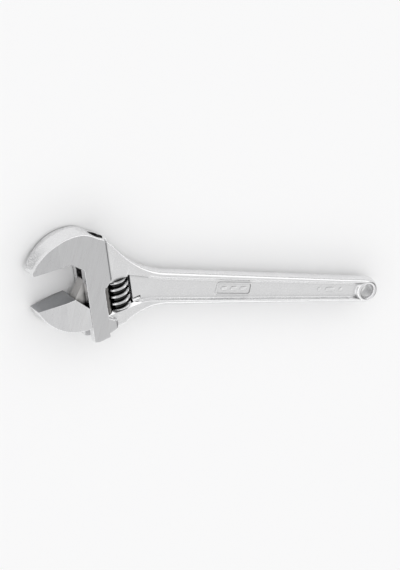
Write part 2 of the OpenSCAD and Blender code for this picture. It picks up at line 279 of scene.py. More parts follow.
def flare(x):
    """How far the handle widens again just before its hanging end."""
    return end_flare * smooth(hole_centre[0] - 34 * mm, hole_centre[0] - 4 * mm, x)


def upper_edge(x):
    """The handle's upper edge: the shoulder's circle, the neck's sweep, then the taper."""
    sweep = circle_height(upper_centre, upper_radius, x, -1)
    edge = np.where(x < neck_x, sweep, handle_line + half_width(x) + flare(x))
    return np.where(x < touch[0], circle_height(shoulder_centre, shoulder_radius, x, 1), edge)


def lower_edge(x):
    """The handle's lower edge: the arm under the window, the lower sweep, then the taper."""
    arm = handle_frame(0.0, arm_foot)
    arm_line = arm[1] + (x - arm[0]) * np.tan(np.radians(jaw_turn))
    sweep = circle_height(lower_centre, lower_radius, x, 1)
    sweep = np.where(x < lower_centre[0] - lower_radius, arm_line, sweep)
    edge = np.where(x < lower_neck_x, sweep, handle_line - half_width(x) - flare(x))
    return np.where(x < lower_neck_x, np.maximum(arm_line, edge), edge)


# The crown's circle passes through the peak and touches the nose's circle from outside.
crown_reach = crown_radius - nose_radius
to_top = np.array([peak_along, peak_up]) - nose_centre
top_way = to_top / np.linalg.norm(to_top)
ahead = (crown_reach ** 2 - crown_radius ** 2 + to_top @ to_top) / (2 * np.linalg.norm(to_top))
aside = np.sqrt(crown_reach ** 2 - ahead ** 2)
crown_centre = nose_centre + ahead * top_way + aside * np.array([top_way[1], -top_way[0]])
nose_end_turn = np.degrees(np.arctan2(*(nose_centre - crown_centre)[::-1]))
crown_turn = np.degrees(np.arctan2(peak_up - crown_centre[1], peak_along - crown_centre[0]))


def draw_outline(*runs):
    """Joins runs of points into one closed outline."""
    return np.concatenate([np.atleast_2d(run) for run in runs])


# The window's box in the head's frame, from the knurl's place and length.
knurl_place = np.array(joints["knurl_spin"]["pos_m"])
knurl_along = (knurl_place - throat) @ head_along
knurl_up = (knurl_place - throat) @ head_up
window_left, window_right = knurl_along - 17.1 * mm, knurl_along + 12.9 * mm
window_top, window_foot = knurl_up + 14.8 * mm, knurl_up - 14.8 * mm

shoulder_end = np.sqrt(shoulder_radius ** 2 - (plate_edge - shoulder_head[0]) ** 2) + shoulder_head[1]
end_turn = np.degrees(np.arctan2(shoulder_end - shoulder_head[1], plate_edge - shoulder_head[0]))
nose_foot_turn = np.degrees(np.arctan2(-nose_up, -np.sqrt(nose_radius ** 2 - nose_up ** 2))) + 360
nose_run = arc(nose_centre, nose_radius, nose_foot_turn, nose_end_turn, 24)
crown_run = arc(crown_centre, crown_radius, nose_end_turn, crown_turn, 60)
shoulder_run = arc(shoulder_head, shoulder_radius, shoulder_turn, end_turn, 30)
over_top = draw_outline(nose_run[:-1], crown_run[:-1], shoulder_run[:-1])
crown_count = len(over_top)

# The joins between the three circles are eased over a few points on either side.
ease, ease_from_end = 6, 14
spread = np.ones(2 * ease + 1) / (2 * ease + 1)
eased = np.stack([np.convolve(over_top[:, axis], spread, "valid") for axis in (0, 1)], axis=-1)
from_end = np.minimum(np.arange(len(eased)), np.arange(len(eased))[::-1])
share = smooth(0, ease_from_end, from_end)[:, None]
over_top[ease:-ease] = over_top[ease:-ease] * (1 - share) + eased * share

# The plate's edge goes in round the knurl's window with a wide mouth.
mouth, mouth_top, mouth_foot = 6 * mm, window_top - 2.4 * mm, window_foot - 2 * mm
heel_along, heel_up = relief_run + 17 * mm, arm_foot + 5 * mm
outline = draw_outline(
    over_top,
    stretch((plate_edge, shoulder_end), (plate_edge, window_top + mouth), 16),
    stretch((plate_edge, window_top + mouth), (window_left, mouth_top), 6),
    stretch((window_left, mouth_top), (window_left, mouth_foot), 4),
    stretch((window_left, mouth_foot), (plate_edge, mouth_foot - mouth), 6),
    stretch((plate_edge, mouth_foot - mouth), (plate_edge, heel_up), 4),
    [(plate_edge, heel_up), (plate_edge - 1.5 * mm, arm_foot + 2.4 * mm)],
    stretch((heel_along, arm_foot), (heel_along, plate_foot), 2),
    stretch((heel_along, plate_foot), (relief_run + 1.5 * mm, plate_foot), 6),
    stretch((relief_run, plate_foot + 1.5 * mm), (relief_run, -relief_drop), 20),
    stretch((relief_run, -relief_drop), (0, 0), 6),
    stretch((0, 0), nose_run[0], 12),
)


def inward(outline):
    """Per outline point, the inward step that moves both its edges in by one unit."""
    before = np.roll(outline, 1, axis=0)
    after = np.roll(outline, -1, axis=0)
    first = outline - before
    second = after - outline
    first = first / np.linalg.norm(first, axis=1, keepdims=True)
    second = second / np.linalg.norm(second, axis=1, keepdims=True)
    normal_a = np.stack([first[:, 1], -first[:, 0]], axis=-1)
    normal_b = np.stack([second[:, 1], -second[:, 0]], axis=-1)
    both = normal_a + normal_b
    return both / np.maximum((both * normal_a).sum(axis=1, keepdims=True), 0.3)


# The side wall's profile: a small bevel at the ground face, then a forged draft down to the parting
# line. Draft belongs to the crown; every machined edge stands straight. At the shoulder the wall
# has a step down beside the rack's bore. At the neck the bevel is wide, and the wall's foot spreads
# in a fillet.
rim_half, fillet = 7.0 * mm, 1.6 * mm
crown_bevel, window_bevel, neck_bevel = 0.45 * mm, 1.0 * mm, 2.3 * mm
crown_draft, nose_draft, shoulder_draft, shoulder_step = 3.5 * mm, 0.9 * mm, 2.2 * mm, 1.5 * mm
at_neck = (outline[:, 0] > relief_run + 10 * mm) & (np.arange(len(outline)) >= crown_count)
crown_along = outline[:crown_count, 0]
fade_in = smooth(0, 16, np.arange(crown_count))
fade_out = 1 - smooth(plate_edge - 9 * mm, plate_edge - 1 * mm, crown_along)
draft, trim = np.zeros(len(outline)), np.zeros(len(outline))
draft[:crown_count] = fade_in * fade_out * (
    crown_draft + nose_draft * smooth(0, -30 * mm, crown_along)
    - shoulder_draft * smooth(8 * mm, 26 * mm, crown_along))
trim[:crown_count] = shoulder_step * smooth(24 * mm, 26 * mm, crown_along) \
    * (1 - smooth(33 * mm, plate_edge, crown_along))
bevel = np.full(len(outline), crown_bevel)
bevel[at_neck] = window_bevel
bevel[at_neck & (outline[:, 0] > plate_edge - 0.1 * mm)] = neck_bevel
bevel[:crown_count] += 0.75 * mm * smooth(-16 * mm, 4 * mm, crown_along) * fade_in
step_in = inward(outline)
heights, insets = [], []
for turn in np.radians([90, 67.5, 45, 22.5, 0]):
    heights.append(half_head - bevel + bevel * np.sin(turn))
    insets.append(draft + bevel * (1 - np.cos(turn)))
for turn in np.radians([0, 22.5, 45, 67.5, 90]):
    drop = rim_half + fillet * (1 - np.sin(turn))
    share = 1 - (drop / (half_head - bevel))
    spread = fillet * (1 - np.cos(turn))
    heights.append(np.full(len(outline), drop))
    insets.append(draft * (1 - share) + trim * smooth(0.1, 0.6, share) - at_neck * spread)
heights.append(np.zeros(len(outline)))
insets.append(trim - at_neck * fillet)
heights = np.array(heights)
insets = np.array(insets)
heights = np.concatenate([heights, -heights[-2::-1]])
insets = np.concatenate([insets, insets[-2::-1]])
walls = head_place(
    outline[None, :, 0] + step_in[None, :, 0] * insets,
    outline[None, :, 1] + step_in[None, :, 1] * insets,
    heights,
)
body = solid("wrench_body", *skin(walls))


def thin_jaws(piece):
    """Thins a jaw's both faces evenly from the throat to the tip, to the tips' own thickness."""
    start, end, tip_half = -10 * mm, -36.2 * mm, 8.05 * mm
    work = bmesh.new()
    work.from_mesh(piece.data)
    bmesh.ops.bisect_plane(
        work, geom=work.verts[:] + work.edges[:] + work.faces[:],
        plane_co=(throat + start * head_along).tolist(), plane_no=head_along.tolist(), dist=1e-7)
    work.to_mesh(piece.data)
    work.free()
    place = np.empty(len(piece.data.vertices) * 3)
    piece.data.vertices.foreach_get("co", place)
    place = place.reshape(-1, 3)
    along = (place - throat) @ head_along
    share = np.maximum(start - along, 0) / (start - end)
    thin = 1 - share * (1 - tip_half / half_head)
    place[:, 2] = mid_height + (place[:, 2] - mid_height) * thin
    piece.data.vertices.foreach_set("co", place.ravel())
    piece.data.update()


thin_jaws(body)

# Neck and handle: at every place along the handle a row of points runs across the front and back
# again, and the height over the middle plane falls from the rims to the sunken web. The points lie
# close together on the rounded outer edges and on the web's sloping walls.
web_half = 3.8 * mm
neck_rim, end_rim, apart = 5.1 * mm, 3.7 * mm, 0.2 * mm
window_corner = handle_frame(window_right, window_top)
window_low_corner = handle_frame(window_right, window_foot)
plate_corner = handle_frame(plate_edge, outline[crown_count, 1])
handle_start = handle_frame(plate_edge - 8 * mm, 0.0)[0] - 6 * mm
neck_end = window_low_corner[0] + 20 * mm
handle_end = hole_centre[0]
ring_start = handle_end - 20 * mm
handle_x = np.concatenate([
    np.arange(handle_start, neck_end, 0.6 * mm),
    np.arange(neck_end, ring_start, 1.6 * mm),
    np.arange(ring_start, handle_end, 0.3 * mm)])
inside_head = 3 * mm * (1 - smooth(plate_corner[0] - 5 * mm, plate_corner[0] - 0.5 * mm, handle_x))
top, foot = upper_edge(handle_x) - inside_head, lower_edge(handle_x)
lean_top = np.sqrt(1 + np.gradient(top, handle_x) ** 2)[:, None]
lean_foot = np.sqrt(1 + np.gradient(foot, handle_x) ** 2)[:, None]
round_share = smooth(neck_x - 62 * mm, neck_x - 4 * mm, handle_x)[:, None]
to_end = smooth(neck_x, handle_end, handle_x)[:, None]
round_width = (1.6 + 3.1 * round_share) * mm * (1 - 0.25 * to_end)
round_power = 3.4 - 1.4 * round_share
wall_span = np.interp(handle_x, [window_corner[0], neck_x], [1.2 * mm, 2.8 * mm])[:, None]
wall_span = wall_span * (1 - 0.15 * to_end)
rim_span = np.interp(handle_x, [neck_x, handle_end], [neck_rim, end_rim])[:, None]
lead = smooth(window_corner[0] - 4 * mm, neck_x, handle_x)[:, None]
top_line = np.where(
    handle_x[:, None] < neck_x,
    window_corner[1] * (1 - lead) + (handle_line + neck_half - neck_rim) * lead,
    top[:, None] - rim_span)
foot_lead = smooth(window_low_corner[0] - 3 * mm, lower_neck_x - 20 * mm, handle_x)[:, None]
foot_line = np.where(
    handle_x[:, None] < lower_neck_x,
    (window_low_corner[1] - 1 * mm) * (1 - foot_lead) + (handle_line - neck_half + neck_rim) * foot_lead,
    foot[:, None] + rim_span)
rounding = 1 - np.cos(np.linspace(0, np.pi / 2, 14))[None, :]
walling = np.linspace(0, 1, 9)[None, :]
low_round = foot[:, None] + rounding * round_width * lean_foot
low_wall = np.maximum(foot_line, low_round[:, -1:] + apart) + walling * wall_span
high_round = top[:, None] - rounding * round_width * lean_top
high_wall = np.minimum(top_line, high_round[:, -1:] - apart) - walling * wall_span
high_wall = np.maximum(high_wall, low_wall[:, -1:] + (2.2 - walling) * mm)
high_round = np.maximum(high_round, high_wall[:, :1] + (1.2 - rounding) * apart)
panel = np.linspace(0, 1, 12)[None, 1:-1]
side = np.concatenate([
    low_round, low_wall, low_wall[:, -1:] * (1 - panel) + high_wall[:, -1:] * panel,
    high_wall[:, ::-1], high_round[:, ::-1]], axis=1)
from_top = (top[:, None] - side) / lean_top
from_foot = (side - foot[:, None]) / lean_foot
to_edge = np.minimum(from_top, from_foot)
inner = np.clip(1 - to_edge / round_width, 0, 1)
outer_height = rim_half * (1 - inner ** round_power) ** (1 / round_power)
window_gap = (handle_x[:, None] - throat[0]) * head_along[0] + (side - throat[1]) * head_along[1] \
    - (window_right - 4.2 * mm)
across = np.minimum(high_wall[:, :1] - side, side - low_wall[:, :1]) / wall_span
sunk = smooth(0, 1, np.minimum(across, window_gap / (3 * mm)))
to_ring = np.hypot(handle_x[:, None] - hole_centre[0], side - handle_line) - end_radius + 0.6 * mm
ring_fillet = 2.0 * mm
climb = ring_fillet - np.sqrt(ring_fillet ** 2 - np.clip(ring_fillet - to_ring, 0, ring_fillet) ** 2)
web_height = np.where(sunk > 0, np.minimum(web_half + climb, outer_height), 0)
front = np.minimum(np.maximum(outer_height - (rim_half - web_half) * sunk, web_height), outer_height)

# Where the rims reach the hanging end they take on its turned profile, and the web ends inside it.
hole_radius = mounts["hang_hole"]["dims"]["r_mm"] * mm
bead_crest, bead_half, outer_power = 8.3 * mm, 7.5 * mm, 2.1
from_hole = np.hypot(handle_x[:, None] - hole_centre[0], side - handle_line)
outwards = np.clip((np.abs(side - handle_line) - bead_crest) / (end_radius - bead_crest), 0, 1)
turned_height = bead_half * (1 - outwards ** outer_power) ** (1 / outer_power)
turned_height = np.where(from_hole < bead_crest, 3 * mm, turned_height)
into_ring = smooth(hole_centre[0] - 9 * mm, hole_centre[0] - 1.5 * mm, handle_x)[:, None]
into_bead = smooth(bead_crest + 0.8 * mm, bead_crest - 0.4 * mm, from_hole)
into_ring = np.where(from_hole < bead_crest, into_bead, into_ring)
front = front * (1 - into_ring) + np.minimum(front, turned_height) * into_ring
along_row = np.broadcast_to(handle_x[:, None], side.shape)
front_points = np.stack([along_row, side, mid_height + front], axis=-1)
back_points = np.stack([along_row, side, mid_height - front], axis=-1)
loop = np.concatenate([front_points, back_points[:, -2:0:-1]], axis=1)
handle = solid("handle", *skin(loop))
far = 500 * mm
behind_cheek = [(32 * mm, -far), (32 * mm, far), (far, far), (far, -far)]
shape_with(handle, prism("behind_cheek", behind_cheek, -2 * half_head, 2 * half_head), "INTERSECT")
shape_with(body, handle, "UNION")

# The hanging end is turned: a hole, a rounded bead round it, and the outer edge that the rims run into.
turn = np.radians(np.linspace(180, 90, 12))
bead_depth = 1.9 * mm
bead_in = np.stack([
    bead_crest + (bead_crest - hole_radius) * np.cos(turn),
    bead_half - bead_depth * (1 - np.sin(turn))], axis=-1)
sweep = np.linspace(0, np.pi / 2, 18)[1:]
bead_out = np.stack([
    bead_crest + (end_radius - bead_crest) * np.sin(sweep) ** (2 / outer_power),
    bead_half * np.cos(sweep) ** (2 / outer_power)], axis=-1)
lathe_front = np.concatenate([[(hole_radius, 0)], bead_in, bead_out])
lathe_back = lathe_front[-2:0:-1] * np.array([1, -1])
lathe = np.concatenate([lathe_front, lathe_back])
around = np.linspace(0, 2 * np.pi, 144, endpoint=False)
ring_points = np.stack([
    hole_centre[0] + lathe[None, :, 0] * np.cos(around)[:, None],
    handle_line + lathe[None, :, 0] * np.sin(around)[:, None],
    np.broadcast_to(mid_height + lathe[None, :, 1], (len(around), len(lathe)))], axis=-1)
shape_with(body, solid("hanging_end", *skin(ring_points, ring=True)), "UNION")
through = 50 * mm * out_way
shape_with(body, rod("hole", hole_centre - through, hole_centre + through, hole_radius, 144), "DIFFERENCE")

# Finishes of the forging. Effects that several finishes share are node groups.


def new_group(name, inputs, outputs):
    """A new shader node group with float sockets: the group, its input node and its output node."""
    group = bpy.data.node_groups.new(name, "ShaderNodeTree")
    for socket, value in inputs:
        made = group.interface.new_socket(socket, in_out="INPUT", socket_type="NodeSocketFloat")
        made.default_value = value
    for socket in outputs:
        group.interface.new_socket(socket, in_out="OUTPUT", socket_type="NodeSocketFloat")
    start, end = group.nodes.new("NodeGroupInput"), group.nodes.new("NodeGroupOutput")
    return group, start, end


def noise(tree, turn, stretch_by, scale, detail):
    """The value of a noise on Object coordinates, turned about Z and stretched."""
    place = tree.nodes.new("ShaderNodeTexCoord")
    mapping = tree.nodes.new("ShaderNodeMapping")
    mapping.inputs["Rotation"].default_value = (0, 0, turn)
    mapping.inputs["Scale"].default_value = stretch_by
    texture = tree.nodes.new("ShaderNodeTexNoise")
    texture.inputs["Scale"].default_value = scale
    texture.inputs["Detail"].default_value = detail
    tree.links.new(place.outputs["Object"], mapping.inputs["Vector"])
    tree.links.new(mapping.outputs["Vector"], texture.inputs["Vector"])
    return texture.outputs["Fac"]


def ranged(tree, value, low, high, to_low, to_high):
    """A value carried from one range to another, kept inside it."""
    reach = tree.nodes.new("ShaderNodeMapRange")
    reach.inputs["From Min"].default_value = low
    reach.inputs["From Max"].default_value = high
    reach.inputs["To Min"].default_value = to_low
    reach.inputs["To Max"].default_value = to_high
    tree.links.new(value, reach.inputs["Value"])
    return reach.outputs["Result"]


def product(tree, first, second):
    """Two values multiplied."""
    maths = tree.nodes.new("ShaderNodeMath")
    maths.operation = "MULTIPLY"
    tree.links.new(first, maths.inputs[0])
    tree.links.new(second, maths.inputs[1])
    return maths.outputs["Value"]


# Grinding lines run in the opening direction: fine scratches, and broad soft bands of tone.
grinding, _, end = new_group("grinding_lines", (), ("Line", "Band"))
ground_turn = -np.radians(jaw_turn)
grinding.links.new(noise(grinding, ground_turn, (1.0, 0.02, 1.0), 2200, 1), end.inputs["Line"])
grinding.links.new(noise(grinding, ground_turn, (1.0, 0.12, 1.0), 150, 2), end.inputs["Band"])

# Forging grain is the fine orange-peel of a shot-blasted forging under its plate.
grain, _, end = new_group("forging_grain", (), ("Grain", "Cloud"))
grain.links.new(noise(grain, 0, (1, 1, 1), 900, 1), end.inputs["Grain"])
grain.links.new(noise(grain, 0, (1, 1, 1), 90, 3), end.inputs["Cloud"])

# Painted corner shade is 0 in tight inner corners and 1 on open faces: an ambient-occlusion mask that
# darkens the colour where shade falls.
corner_shade, start, end = new_group("corner_grime", (("Darkest", 0.3),), ("Open",))
corner = corner_shade.nodes.new("ShaderNodeAmbientOcclusion")
corner.inputs["Distance"].default_value = 3.6 * mm
corner.samples = 12
shut = ranged(corner_shade, corner.outputs["AO"], 0.3, 0.96, 0.0, 1.0)
spread = corner_shade.nodes.new("ShaderNodeMapRange")
corner_shade.links.new(shut, spread.inputs["Value"])
corner_shade.links.new(start.outputs["Darkest"], spread.inputs["To Min"])
corner_shade.links.new(spread.outputs["Result"], end.inputs["Open"])

# Edge wear and highlight is 1 on sharp outer edges, where the colour is brightened: the plate rubbed
# bright there, and a painted highlight.
wear_and_highlight, _, end = new_group("edge_wear", (), ("Edge",))
shape = wear_and_highlight.nodes.new("ShaderNodeNewGeometry")
wear_and_highlight.links.new(ranged(wear_and_highlight, shape.outputs["Pointiness"], 0.52, 0.60, 0.0, 1.0), end.inputs["Edge"])


def steel(name, tone, roughness, pattern, line, band, relief, darkest, wear_and_highlight_share=0.6):
    """A metal finish whose tone and roughness vary with a pattern's two values.

    Tight corners are darkened with painted shade, down to a share of the tone, and sharp edges are
    brightened, as worn and with a painted highlight.
    """
    material, nodes, links, shader = new_material(name)
    tree = material.node_tree
    shader.inputs["Metallic"].default_value = 1.0
    placed_groups = {}
    for group in (pattern, corner_shade, wear_and_highlight):
        node = nodes.new("ShaderNodeGroup")
        node.node_tree = group
        placed_groups[group.name] = node
    placed_groups["corner_grime"].inputs["Darkest"].default_value = darkest
    marks = placed_groups[pattern.name]
    small = ranged(tree, marks.outputs[0], 0.3, 0.7, 1 - line, 1 + line)
    large = ranged(tree, marks.outputs[1], 0.3, 0.7, 1 - band, 1 + band)
    # The tone is darkened in tight corners by the painted corner shade.
    shade = product(tree, product(tree, small, large), placed_groups["corner_grime"].outputs["Open"])
    colour = nodes.new("ShaderNodeVectorMath")
    colour.operation = "SCALE"
    colour.inputs[0].default_value = tone
    links.new(shade, colour.inputs["Scale"])
    # Sharp edges get a brighter colour: wear, and a painted highlight.
    bright = nodes.new("ShaderNodeMix")
    bright.data_type = "RGBA"
    bright.inputs["B"].default_value = tuple(min(1.0, part * 1.25 + 0.05) for part in tone) + (1,)
    links.new(colour.outputs["Vector"], bright.inputs["A"])
    rubbed_and_highlit = ranged(tree, placed_groups["edge_wear"].outputs["Edge"], 0, 1, 0, wear_and_highlight_share)
    links.new(rubbed_and_highlit, bright.inputs["Factor"])
    links.new(bright.outputs["Result"], shader.inputs["Base Color"])
    gloss = ranged(tree, marks.outputs[0], 0.2, 0.8, roughness - 0.05, roughness + 0.05)
    links.new(gloss, shader.inputs["Roughness"])
    bump = nodes.new("ShaderNodeBump")
    bump.inputs["Strength"].default_value = relief
    bump.inputs["Distance"].default_value = 0.02 * mm
    links.new(marks.outputs[0], bump.inputs["Height"])
    links.new(bump.outputs["Normal"], shader.inputs["Normal"])
    return material


satin_plate = steel("satin_plate", (0.82, 0.82, 0.825), 0.25, grain, 0.02, 0.015, 0.08, 0.2)
ground_plate = steel("ground_plate", (0.61, 0.61, 0.615), 0.30, grinding, 0.025, 0.02, 0.08, 0.3, wear_and_highlight_share=0)
machined = steel("machined", (0.46, 0.46, 0.47), 0.30, grain, 0.05, 0.04, 0.08, 0.06)
# The rack's bore is lined with a near-black tone: painted shade in the bore.
oiled_bore = steel("oiled_bore", (0.10, 0.10, 0.10), 0.4, grain, 0.1, 0.1, 0.2, 0.05)


def face_facts(piece):
    """The normals of a piece's faces, and their centres from the throat's corner."""
    faces = piece.data.polygons
    normal, centre = np.empty(len(faces) * 3), np.empty(len(faces) * 3)
    faces.foreach_get("normal", normal)
    faces.foreach_get("center", centre)
    return normal.reshape(-1, 3), centre.reshape(-1, 3) - throat


def face_finishes(piece):
    """The material number of every face of a piece."""
    slot = np.empty(len(piece.data.polygons), dtype=np.int32)
    piece.data.polygons.foreach_get("material_index", slot)
    return slot


def finish_faces(piece, finish, chosen):
    """Gives a material to the chosen faces of a piece."""
    mesh = piece.data
    if finish.name not in mesh.materials:
        mesh.materials.append(finish)
    slot = face_finishes(piece)
    slot[chosen] = mesh.materials.find(finish.name)
    mesh.polygons.foreach_set("material_index", slot)
    mesh.update()


def finish_whole(piece, finish):
    """Gives a piece one material and no other."""
    piece.data.materials.clear()
    piece.data.materials.append(finish)
    piece.data.polygons.foreach_set("material_index", np.zeros(len(piece.data.polygons), dtype=np.int32))


def level_faces(piece):
    """Which faces of a piece are its ground faces: level, and further out than the handle's rims."""
    normal, centre = face_facts(piece)
    return (np.abs(normal[:, 2]) > 0.97) & (np.abs(centre[:, 2]) > rim_half + 0.8 * mm)


def finish_edges(piece, degrees):
    """Smooth shading. Edges sharper than an angle stay sharp, and ground or wide many-sided faces flat."""
    mesh = piece.data
    mesh.shade_smooth()
    mesh.set_sharp_from_angle(angle=np.radians(degrees))
    sides, area = np.empty(len(mesh.polygons), dtype=np.int32), np.empty(len(mesh.polygons))
    mesh.polygons.foreach_get("loop_total", sides)
    mesh.polygons.foreach_get("area", area)
    wide = (sides > 4) & (area > 20 * mm ** 2)
    mesh.polygons.foreach_set("use_smooth", ~(wide | level_faces(piece)))
    mesh.update()


finish_whole(body, satin_plate)

# Raised marks on the front web: a plain rounded frame with three studs, and a dot, a bar and a dot.
mark_rise, mark_sink = 0.55 * mm, 0.6 * mm


def pad(name, centre, half_long, half_wide, corner):
    """A low pad with round corners and sloping sides, standing on the front of the web."""
    turn = np.radians(np.arange(0, 360, 10))
    over = np.sign(np.cos(turn + 1e-9)) * (half_long - corner)
    up = np.sign(np.sin(turn + 1e-9)) * (half_wide - corner)
    rows = []
    for height, shrink in ((-mark_sink, 0), (0, 0), (mark_rise * 0.8, 0.25 * mm), (mark_rise, 0.45 * mm)):
        radius = corner - shrink
        rows.append(np.stack([
            centre[0] + over + radius * np.cos(turn), centre[1] + up + radius * np.sin(turn),
            np.full(len(turn), mid_height + web_half + height)], axis=-1))
    made = solid(name, *skin(np.array(rows)))
    made.data.materials.append(satin_plate)
    return made


frame_centre, frame_half = np.array([33.5 * mm, handle_line + 0.3 * mm]), np.array([19.5 * mm, 6.3 * mm])
frame_pad = pad("mark_frame", frame_centre, *frame_half, 3.2 * mm)
frame_band, inner_corner = 1.4 * mm, 2 * mm
inner_long, inner_wide = frame_half - frame_band - inner_corner
turn = np.radians(np.arange(0, 360, 10))
edge_x = frame_centre[0] + np.sign(np.cos(turn + 1e-9)) * inner_long + inner_corner * np.cos(turn)
edge_y = frame_centre[1] + np.sign(np.sin(turn + 1e-9)) * inner_wide + inner_corner * np.sin(turn)
web_top = mid_height + web_half
levels = [
    np.stack([edge_x, edge_y, np.full(len(turn), level)], axis=-1)
    for level in (web_top, web_top + 5 * mm)]
frame_inside = solid("mark_inside", *skin(np.stack(levels)))
frame_inside.data.materials.append(satin_plate)
shape_with(frame_pad, frame_inside, "DIFFERENCE")
shape_with(body, frame_pad, "UNION")
for stud in (-1, 0, 1):
    stud_centre = frame_centre + np.array([stud * 10.5 * mm, 0])
    shape_with(body, pad("mark_stud", stud_centre, 3.6 * mm, 2.0 * mm, 1.9 * mm), "UNION")
size_centre = np.array([140.5 * mm, handle_line + 0.6 * mm])
for step, half_long in ((-1, 1.9 * mm), (0, 5.2 * mm), (1, 1.9 * mm)):
    dot_centre = size_centre + np.array([step * 12 * mm, 0])
    shape_with(body, pad("mark_dot", dot_centre, half_long, 1.9 * mm, 1.8 * mm), "UNION")

# Machining: the slot between the cheeks, the rack's bore, the knurl's window and the pin's bores.
reach = 60 * mm
slide_gap = 0.2 * mm
slot_half = 5.1 * mm
rack_along, rack_radius = 33.9 * mm, 6.3 * mm
slot = [(2.2 * mm, -3 * reach), (2.2 * mm, -2.5 * mm), (13.2 * mm, 12.5 * mm),
        (rack_along, 12.5 * mm), (rack_along, -3 * reach)]
window = [(window_left, window_foot), (window_right, window_foot),
          (window_right, window_top), (window_left, window_top)]
pin_radius, pin_head_radius, pin_gap = 3.2 * mm, 4.8 * mm, 0.06 * mm
pin_top, pin_head_end = window_top + 13 * mm, arm_foot + 3.4 * mm
pin_head_start = pin_head_end + 4.5 * mm


# The arm's two edges along the window's foot are bevelled before the window is cut.
foot_bevel, past = 2.4 * mm, 4 * mm
edge_ups = window_foot + np.array([-foot_bevel, past, past, -foot_bevel])
edge_outs = np.array([rim_half, rim_half - foot_bevel - past, 3 * rim_half, 3 * rim_half])
for face in (-1, 1):
    ends = [
        head_place(np.full(4, at), edge_ups, face * edge_outs)
        for at in (window_left, window_right + 8 * mm)]
    edge_cut = solid("window_edge", *skin(np.array(ends)))
    edge_cut.data.materials.append(satin_plate)
    shape_with(body, edge_cut, "DIFFERENCE")
below = head_place(knurl_along, -3 * reach)
rack_below, rack_above = head_place(rack_along, -3 * reach), head_place(rack_along, reach)
pin_inner, seat_inner = head_place(knurl_along, pin_top), head_place(knurl_along, pin_head_start)
for finish, cutter in (
    (machined, prism("slot", slot, -slot_half, slot_half)),
    (oiled_bore, rod("rack_bore", rack_below, rack_above, rack_radius + slide_gap, 96)),
    (machined, prism("window", window, -reach, reach)),
    (machined, rod("pin_bore", below, pin_inner, pin_radius + pin_gap, 64)),
    (machined, rod("pin_seat", below, seat_inner, pin_head_radius + pin_gap, 64)),
):
    cutter.data.materials.append(finish)
    shape_with(body, cutter, "DIFFERENCE")
finish_faces(body, ground_plate, level_faces(body))

# The plate's edge over the neck gets a dark finish: painted shade for the dark line beside the plate's
# step down to the neck.
milled_edge = steel("milled_edge", (0.20, 0.20, 0.205), 0.35, grain, 0.05, 0.05, 0.08, 0.5)
face_way, face_middle = face_facts(body)
on_edge = (face_middle @ head_along > plate_edge - neck_bevel - 0.2 * mm) \
    & (np.abs(face_middle[:, 2]) > rim_half + 0.1 * mm) \
    & (face_way @ head_along > 0.15) & (face_way @ head_up < 0.6) \
    & (face_finishes(body) != body.data.materials.find("machined"))
finish_faces(body, milled_edge, on_edge)
finish_edges(body, 28)
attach(body, "root")
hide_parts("body")

# ---- Movable jaw ---------------------------------------------------------------------------
# A second forging, ground on both faces and on its grip. Its web slides in the slot between the
# cheeks, and carries the round rack, whose teeth the knurl drives.
opening = (throat - np.array(mounts["movable_grip"]["pos_m"])) @ head_up
jaw_edge, jaw_relief, belly_radius, jaw_depth = 12.8 * mm, 14.3 * mm, 52.6 * mm, 35.2 * mm
belly_centre = np.array([jaw_edge, belly_radius - opening - jaw_depth])
tip = -36.6 * mm
tip_turn = -180 + np.degrees(np.arccos((jaw_edge - tip) / belly_radius))
jaw_outline = draw_outline(
    stretch((tip, -opening), (0, -opening), 14),
    stretch((0, -opening), (jaw_edge, -opening - jaw_relief), 6),
    stretch((jaw_edge, -opening - jaw_relief), (jaw_edge, -opening - jaw_depth), 6),
    arc(belly_centre, belly_radius, -90, tip_turn, 60))
jaw_bevel = 0.4 * mm
jaw_in = inward(jaw_outline)
levels, jaw_insets = [], []
for turn in np.radians([90, 60, 30, 0]):
    levels.append(half_head - jaw_bevel * (1 - np.sin(turn)))
    jaw_insets.append(jaw_bevel * (1 - np.cos(turn)))
levels, jaw_insets = np.array(levels), np.array(jaw_insets)
levels = np.concatenate([levels, -levels[::-1]])[:, None]
jaw_insets = np.concatenate([jaw_insets, jaw_insets[::-1]])[:, None]
jaw = solid("sliding_jaw", *skin(head_place(
    jaw_outline[None, :, 0] + jaw_in[None, :, 0] * jaw_insets,
    jaw_outline[None, :, 1] + jaw_in[None, :, 1] * jaw_insets,
    levels)))
thin_jaws(jaw)
ground_jaw = steel("ground_jaw", (0.735, 0.735, 0.74), 0.30, grinding, 0.03, 0.03, 0.12, 0.3, wear_and_highlight_share=0)
# The grip's darker tone is painted shade.
grip_face = steel("grip_face", (0.345, 0.35, 0.36), 0.36, grain, 0.08, 0.05, 0.4, 0.4)
jaw.data.materials.append(satin_plate)

gusset_foot, gusset_head = 3 * mm, 14 * mm
rack_top, rack_bottom = 11.9 * mm - opening, -opening - 49.3 * mm
web_outline = [
    (gusset_foot, -opening - jaw_relief * gusset_foot / (13 * mm)), (gusset_head, rack_top),
    (rack_along, rack_top), (rack_along, rack_bottom), (rack_along - 12 * mm, rack_bottom),
    (rack_along - 16 * mm, -opening - jaw_depth), (gusset_foot, -opening - jaw_depth + 4 * mm)]
web_finish = steel("machined_web", (0.46, 0.45, 0.44), 0.33, grinding, 0.05, 0.05, 0.1, 0.06)
# The rack is given a near-black tone: painted shade down in the slot.
rack_finish = steel("oiled_rack", (0.13, 0.125, 0.12), 0.30, grain, 0.1, 0.1, 0.1, 0.1)
jaw_web = prism("jaw_web", web_outline, -4.9 * mm, 4.9 * mm)
rack = rod("rack", head_place(rack_along, rack_top), head_place(rack_along, rack_bottom), rack_radius, 96)

